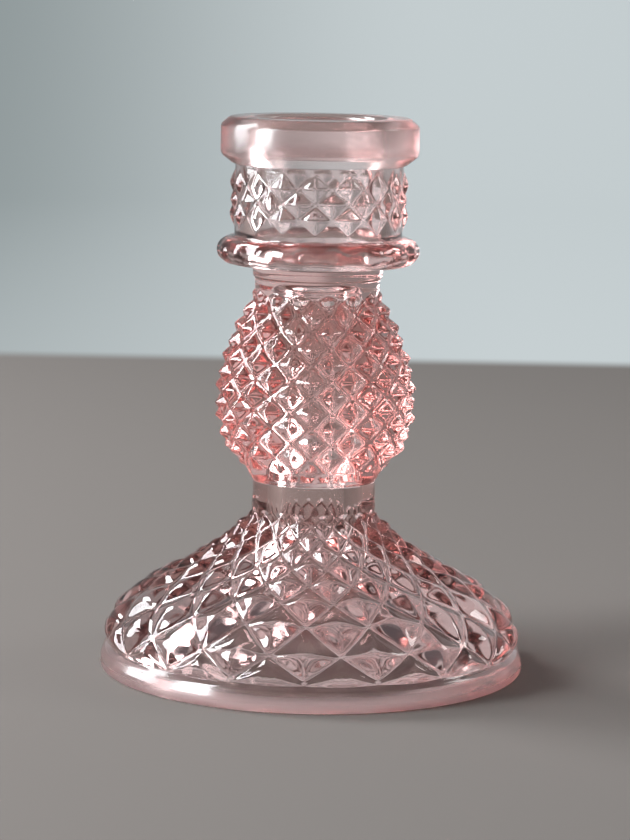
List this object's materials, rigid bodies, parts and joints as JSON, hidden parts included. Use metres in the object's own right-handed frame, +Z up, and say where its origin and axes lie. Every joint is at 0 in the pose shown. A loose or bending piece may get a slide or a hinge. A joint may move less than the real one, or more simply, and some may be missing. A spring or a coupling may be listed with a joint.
{
  "type": "glass candlestick",
  "caption": "Pressed-glass candlestick: a candle socket with a plain rim over a diamond-cut cup, a drip ring, a diamond-cut knop and a wide diamond-cut hollow foot.",
  "frame": {"origin": "centre of the foot on the surface that it stands on", "axes": "+Z up along the axis of the candle, towards the mouth; -Y is the front"},
  "size_m": [0.077, 0.077, 0.1],
  "materials": {
    "pink_glass": "fire-polished pressed glass, tinted pale rose"
  },
  "bodies": {
    "root": {"candle_socket": "pink_glass", "rim_band": "pink_glass", "cup_diamond_band": "pink_glass", "drip_ring": "pink_glass", "upper_neck": "pink_glass", "stem_knop": "pink_glass", "lower_neck": "pink_glass", "foot_dome": "pink_glass", "foot_rim": "pink_glass"}
  },
  "joints": []
}
